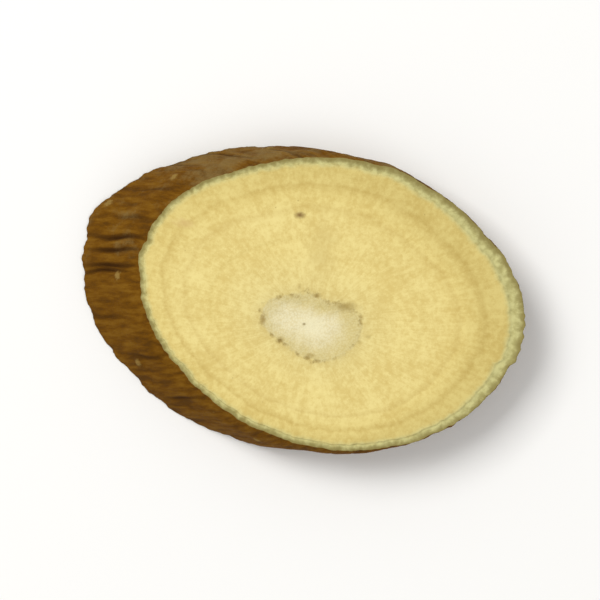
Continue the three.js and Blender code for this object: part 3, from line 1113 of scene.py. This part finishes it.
        colour = base
        for share, over in ((patch, self.bloom_and_light), (furrow_shade, self.furrow), (corky, self.lenticel)):
            colour = add_node(tree, "Mix", {0: share, MIX_A: colour, MIX_B: linear(over)}, MIX_COLOUR,
                              data_type="RGBA")
        roughness = add_node(tree, "MapRange", (grain, *NOISE_RANGE, *self.roughness))
        streaked = add_node(tree, "Math", (streaks, self.streak_depth), operation="MULTIPLY")
        height = add_node(tree, "Math", (grain, self.grain_depth, streaked), operation="MULTIPLY_ADD")
        return Layer(colour, roughness, height)


@dataclass(frozen=True)
class Border:
    """The border where a tissue starts: the mark it follows, how far it wavers, and half its width."""

    mark: Mark
    waver: float
    softness: float


@dataclass(frozen=True)
class TissueMaterial:
    """Builds a material whose layers change with growth, such as pith to wood to inner bark.

    Attributes:
        twig: Gives the slant of the twig to the object.
        pith_at: A point of the pith's axis in metres.
        wood_border: Where the wood starts.
        bast_border: Where the inner bark starts.
        wobble: How many waves of the borders there are in a millimetre.
        ior: Of cellulose, which wood, bast and cork are made of.
    """

    twig: Twig
    pith_at: Vector
    wood_border: Border = Border(Mark.FROM_PITH, 0.6, 0.1)
    bast_border: Border = Border(Mark.FROM_CAMBIUM, 0.3, 0.19)
    wobble: float = 2.6
    ior: float = 1.53

    def growth(self, tree: Tree) -> Growth:
        """Adds the nodes that say where in the twig a point grew.

        Args:
            tree: The tree that they go into.

        Returns:
            Their outputs.
        """
        upright = Matrix.Rotation(-self.twig.cut_angle, 3, "Y")
        turn = (upright @ Matrix.Rotation(-self.twig.lean_turn, 3, "Z")).to_euler()
        origin = Vector(self.pith_at) / MM
        origin.rotate(turn)
        where = add_node(tree, "TexCoord", out="Object")
        place = add_node(tree, "Mapping", {"Vector": where, "Location": -origin, "Rotation": turn,
                                           "Scale": (1 / MM, 1 / MM, 1 / MM)}, vector_type="POINT")
        flat = add_node(tree, "VectorMath", (place, (1.0, 1.0, 0.0)), operation="MULTIPLY")
        heading = add_node(tree, "VectorMath", (flat,), operation="NORMALIZE")
        reach = add_node(tree, "VectorMath", (flat,), "Value", operation="LENGTH")
        marks = {mark: add_node(tree, "Attribute", (), "Fac", attribute_name=mark.value) for mark in Mark}
        return Growth(place, heading, reach, marks)

    def over(self, tree: Tree, below: Layer, above: Layer, share: Socket) -> Layer:
        """Lays one tissue over another.

        Args:
            tree: The tree that they are in.
            below: The tissue that shows at share 0.
            above: The tissue that shows at share 1.
            share: How much of the upper one shows.

        Returns:
            The two as one layer.
        """
        colour = add_node(tree, "Mix", {0: share, MIX_A: below.colour, MIX_B: above.colour}, MIX_COLOUR,
                          data_type="RGBA")
        pairs = ((below.roughness, above.roughness), (below.height, above.height))
        mixed = [add_node(tree, "Mix", {0: share, "A": low, "B": high}) for low, high in pairs]
        return Layer(colour, *mixed)

    def shader(self, tree: Tree, layer: Layer, sheen: float) -> None:
        """Adds the surface shader that shows a layer.

        Args:
            tree: The tree that it goes into.
            layer: What it shows.
            sheen: Level of the surface's sheen.
        """
        bump = add_node(tree, "Bump", {"Strength": 1.0, "Distance": MM, "Height": layer.height})
        surface = add_node(tree, "BsdfPrincipled",
                           {"Base Color": layer.colour, "Roughness": layer.roughness, "IOR": self.ior,
                            "Specular IOR Level": sheen, "Normal": bump})
        add_node(tree, "OutputMaterial", {"Surface": surface})

    def new_tree(self, name: str) -> tuple[bpy.types.Material, Tree]:
        """Makes a material without nodes.

        Args:
            name: The material's name.

        Returns:
            The material and its empty tree.
        """
        material = bpy.data.materials.new(name)
        material.use_nodes = True
        material.node_tree.nodes.clear()
        return material, material.node_tree

    def cut_face(self, wood: Sapwood, pith: PithTissue, bast: InnerBark) -> bpy.types.Material:
        """Makes the finish of the cut faces.

        Args:
            wood: Between pith and cambium.
            pith: The core.
            bast: From the cambium out.

        Returns:
            The material.
        """
        material, tree = self.new_tree("cut_mulberry_wood")
        at = self.growth(tree)
        wobble = add_node(tree, "TexNoise", {"Vector": at.place, "Scale": self.wobble, "Detail": 4.0,
                                             "Roughness": 0.6})
        layer = pith.layer(tree, at)
        for border, tissue in ((self.wood_border, wood), (self.bast_border, bast)):
            away = add_node(tree, "Math", (wobble, border.waver, at.marks[border.mark]),
                            operation="MULTIPLY_ADD")
            middle = NOISE_MIDDLE * border.waver
            share = add_node(tree, "MapRange", (away, middle - border.softness, middle + border.softness),
                             interpolation_type="SMOOTHSTEP")
            layer = self.over(tree, layer, tissue.layer(tree, at), share)
            if tissue is wood:
                layer = pith.flecked(tree, at, layer)
        self.shader(tree, layer, wood.sheen)
        return material

    def bark(self, bark: OuterBark) -> bpy.types.Material:
        """Makes the finish of the twig's outside.

        Args:
            bark: The bark that covers it.

        Returns:
            The material.
        """
        material, tree = self.new_tree("mulberry_bark")
        self.shader(tree, bark.layer(tree, self.growth(tree)), bark.sheen)
        return material


@dataclass
class TwigSlice:
    """The slice: one closed mesh of bark, inner bark, wood and pith, which grew as one piece.

    Attributes:
        twig: The twig and its cuts.
        sides: Columns of the mesh round the twig.
        side_rows: Rows of the mesh up the bark.
        lower_rows: Rows of the lower face in pith, wood and inner bark.
        upper_rows: The same of the upper face.
        rim_gathering: How much closer the bark's rows lie near the cuts, from 0 to 1.
        last_row: Growth of a face's last row before its rim.
        nick: Height of the raggedness of the cut bark.
        nick_size: Width of one nick.
    """

    twig: Twig = field(default_factory=Twig)
    sides: int = 600
    side_rows: int = 44
    lower_rows: tuple[int, int, int] = (5, 14, 6)
    upper_rows: tuple[int, int, int] = (14, 58, 12)
    rim_gathering: float = 0.6
    last_row: float = 1.96
    nick: float = 0.05
    nick_size: float = 0.42

    def growth_rows(self, rows: tuple[int, int, int]) -> Array:
        """Spaces the rows of a face.

        Args:
            rows: How many there are in pith, wood and inner bark.

        Returns:
            The growth of each row, without the face's middle and its rim.
        """
        ends = (-1, 0, 1, self.last_row)
        tissues = [np.linspace(*ends[i : i + 2], rows[i] + 1)[1:] for i in range(len(rows))]
        return np.concatenate(tissues)[:, None]

    def bark_points(self, turn: Array, share: Array, bark: BarkRelief) -> tuple[Array, dict[Mark, Array]]:
        """Makes the rows of the bark between the two cuts.

        Args:
            turn: Angles round the twig.
            share: Height of each row as a share of the side, as a column of numbers.
            bark: The relief.

        Returns:
            The points, and the bark's marks on them.
        """
        twig = self.twig
        outward = np.stack([np.cos(turn) / math.cos(twig.cut_angle), np.sin(turn)], axis=-1)
        top = twig.upper_cut(twig.radius * outward[:, 0], twig.radius * outward[:, 1]) - twig.bark_sink
        z = blend(twig.bark_sink, top, share)
        along = twig.along(turn, z)
        upper_rim, lower_rim = twig.rim_share(top - z), twig.rim_share(z - twig.bark_sink)
        inset = twig.upper_inset * upper_rim + twig.lower_inset * lower_rim
        ragged = self.nick * fractal(twig.surface(turn, along), self.nick_size, 3, Patch.NICKS)
        relief = bark.height(turn, along)
        radius = twig.plain_radius(turn, z) + relief - inset + ragged * (upper_rim + lower_rim)
        flat = radius[..., None] * outward + twig.lean(z)
        points = np.concatenate([flat, z[..., None]], axis=-1)
        marks = {
            Mark.GROWTH: np.full(z.shape, 2.0),
            Mark.FROM_PITH: np.full(z.shape, twig.radius),
            Mark.FROM_CAMBIUM: np.ones(z.shape),
            Mark.UNDER_BARK: np.zeros(z.shape),
            Mark.RELIEF: bark.fine_height(turn, along),
            Mark.LENTICEL: bark.lenticel_share(turn, along),
            Mark.FURROW: bark.furrow_share(turn, along),
        }
        return points, marks

    def faces(self, rows: int) -> list[tuple[int, ...]]:
        """Joins the rows, and the point in the middle of each face, into one closed skin.

        Args:
            rows: Number of rows. Vertex 0 is the lower middle, and the last is the upper middle.

        Returns:
            Vertex numbers of each face, all facing out.
        """
        here = np.arange(self.sides)
        beside = (here + 1) % self.sides
        first = 1 + np.arange(rows - 1)[:, None] * self.sides
        quads = np.stack([first + here, first + beside, first + self.sides + beside,
                          first + self.sides + here], axis=-1).reshape(-1, 4)
        last_row = 1 + (rows - 1) * self.sides
        peak = 1 + rows * self.sides
        lower = [(0, 1 + int(b), 1 + int(a)) for a, b in zip(here, beside)]
        upper = [(last_row + int(a), last_row + int(b), peak) for a, b in zip(here, beside)]
        return lower + [tuple(quad) for quad in quads.tolist()] + upper

    def build(self) -> bpy.types.Object:
        """Builds the slice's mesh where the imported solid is, with its marks and its finishes.

        Returns:
            The slice.
        """
        turn = np.linspace(0, 2 * math.pi, self.sides, endpoint=False)
        even = np.linspace(0, 1, self.side_rows)[:, None]
        gathered = blend(even, smooth(even, 0, 1), self.rim_gathering)
        side, side_marks = self.bark_points(turn, gathered, BarkRelief(self.twig))
        face = CutFace(self.twig)
        lower, lower_marks = face.rows(turn, self.growth_rows(self.lower_rows), side[0], Cut.LOWER)
        upper, upper_marks = face.rows(turn, self.growth_rows(self.upper_rows), side[-1], Cut.UPPER)
        rows = np.concatenate([lower, side, upper[::-1]])
        points = np.vstack([lower[0].mean(axis=0), rows.reshape(-1, 3), upper[0].mean(axis=0)])
        shift = self.place_in(points)
        mesh = bpy.data.meshes.new("mulberry_twig_slice")
        mesh.from_pydata(((points + shift) * MM).tolist(), [], self.faces(len(rows)))
        for mark in Mark:
            below, above = lower_marks[mark], upper_marks[mark]
            inner = np.concatenate([below, side_marks[mark], above[::-1]]).ravel()
            values = np.concatenate([[below[0].mean()], inner, [above[0].mean()]]).astype(np.float32)
            mesh.attributes.new(mark.value, "FLOAT", "POINT").data.foreach_set("value", values)
        self.dress(mesh, face, len(lower), shift)
        mesh.shade_smooth()
        slice_object = bpy.data.objects.new("mulberry_twig_slice", mesh)
        bpy.context.scene.collection.objects.link(slice_object)
        return slice_object

    def place_in(self, points: Array) -> Array:
        """Finds the shift that puts the points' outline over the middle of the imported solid.

        Args:
            points: All points of the mesh.

        Returns:
            The shift in millimetres.
        """
        low, high = (np.array(corner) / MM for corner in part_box(CAD_NODE))
        shift = (low + high) / 2 - (points.min(axis=0) + points.max(axis=0)) / 2
        shift[2] = low[2] - points[:, 2].min()
        return shift

    def dress(self, mesh: bpy.types.Mesh, face: CutFace, lower_rows: int, shift: Array) -> None:
        """Gives the cut faces and the bark their finishes.

        Args:
            mesh: The slice's mesh.
            face: Says where the pith's middle is.
            lower_rows: Number of rows of the lower face, below the bark.
            shift: How far the mesh was moved from the twig's own axes, in millimetres.
        """
        pith = np.array([*face.pith_centre, self.twig.thickness / 2]) + shift
        finish = TissueMaterial(self.twig, Vector(pith) * MM)
        mesh.materials.append(finish.cut_face(Sapwood(), PithTissue(), InnerBark()))
        mesh.materials.append(finish.bark(OuterBark()))
        slots = np.zeros(len(mesh.polygons), np.int32)
        first = self.sides * (1 + lower_rows)
        slots[first : first + self.sides * (self.side_rows - 1)] = 1
        mesh.polygons.foreach_set("material_index", slots)


@dataclass(frozen=True)
class Softbox:
    """A square lamp: its name, its place and width in metres, and its power in watts."""

    name: str
    place: tuple[float, float, float]
    side: float
    power: float


@dataclass
class Studio:
    """The floor, the soft lights and the camera.

    Attributes:
        floor_half: Half the width of the floor.
        floor_drop: Keeps the floor from sharing the lower face's own plane.
        floor_colour: Of the matt pale floor.
        sky: Brightness of the even light from all round.
        lamps: The softboxes.
        frame_width: Width of what the camera sees at the slice.
        lens: Focal length. A long one, as the slice was seen from far off for its size.
        sensor: Width of the camera's sensor.
        clip: Nearest and farthest that the camera sees, in its distances.
        roll: Turn of the slice in the picture: its long axis points right and this far down.
    """

    floor_half: float = 400.0
    floor_drop: float = 0.01
    floor_colour: str = "#f5f4f1"
    sky: float = 0.47
    lamps: tuple[Softbox, ...] = (
        Softbox("key_softbox", (-0.18, 0.10, 0.30), 0.18, 0.86),
        Softbox("fill_softbox", (0.22, -0.10, 0.28), 0.22, 0.26),
    )
    frame_width: float = 30.5
    lens: float = 250.0
    sensor: float = 36.0
    clip: tuple[float, float] = (0.01, 100.0)
    roll: float = math.radians(12.3)

    def build(self, target: Vector) -> None:
        """Builds the floor, lights and camera.

        Args:
            target: What the lamps and the camera point at, in metres.
        """
        self.add_floor()
        self.add_sky()
        for lamp in self.lamps:
            self.add_lamp(lamp, target)
        self.add_camera(target)

    def add_floor(self) -> None:
        """Adds the plain pale floor that the slice lies on."""
        half, under = self.floor_half * MM, -self.floor_drop * MM
        mesh = bpy.data.meshes.new("floor")
        corners = [(x * half, y * half, under) for x, y in ((-1, -1), (1, -1), (1, 1), (-1, 1))]
        mesh.from_pydata(corners, [], [(0, 1, 2, 3)])
        material = bpy.data.materials.new("pale_matt_paper")
        material.use_nodes = True
        shader = material.node_tree.nodes["Principled BSDF"]
        look = {"Base Color": linear(self.floor_colour), "Roughness": 0.95, "Specular IOR Level": 0.1}
        for name, value in look.items():
            shader.inputs[name].default_value = value
        mesh.materials.append(material)
        floor = bpy.data.objects.new("floor", mesh)
        bpy.context.scene.collection.objects.link(floor)

    def add_sky(self) -> None:
        """Adds the even white light from all round."""
        world = bpy.data.worlds.new("studio")
        world.use_nodes = True
        background = world.node_tree.nodes["Background"]
        background.inputs["Color"].default_value = (1.0, 1.0, 1.0, 1.0)
        background.inputs["Strength"].default_value = self.sky
        bpy.context.scene.world = world

    def add_lamp(self, softbox: Softbox, target: Vector) -> None:
        """Adds a lamp.

        Args:
            softbox: What it is like.
            target: What it points at, in metres.
        """
        light = bpy.data.lights.new(softbox.name, "AREA")
        light.size = softbox.side
        light.energy = softbox.power
        lamp = bpy.data.objects.new(softbox.name, light)
        lamp.location = softbox.place
        lamp.rotation_euler = (Vector(softbox.place) - target).to_track_quat("Z", "Y").to_euler()
        lamp.visible_camera = False
        bpy.context.scene.collection.objects.link(lamp)

    def add_camera(self, target: Vector) -> None:
        """Adds the camera straight over the slice, turned as the photographed slice lies.

        Args:
            target: The middle of its view, in metres.
        """
        scene = bpy.context.scene
        data = bpy.data.cameras.new("camera")
        data.lens = self.lens
        data.sensor_width = self.sensor
        distance = self.frame_width * MM * self.lens / self.sensor
        data.clip_start, data.clip_end = (distance * share for share in self.clip)
        camera = bpy.data.objects.new("camera", data)
        camera.location = target + Vector((0, 0, distance))
        camera.rotation_euler = (0, 0, self.roll)
        scene.collection.objects.link(camera)
        scene.camera = camera
        scene.view_settings.view_transform = "Standard"


def main() -> None:
    """Builds the slice and the studio, and reports each piece."""
    logging.basicConfig(level=logging.INFO, format="%(name)s: %(message)s")
    piece = TwigSlice().build()
    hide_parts(CAD_NODE)
    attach(piece, "root")
    LOG.info("%s: %d faces, size %s mm", piece.name, len(piece.data.polygons),
             [round(side / MM, 2) for side in piece.dimensions])
    low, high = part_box(CAD_NODE)
    Studio().build(Vector(((low.x + high.x) / 2, (low.y + high.y) / 2, high.z)))


if __name__ == "__main__":
    main()
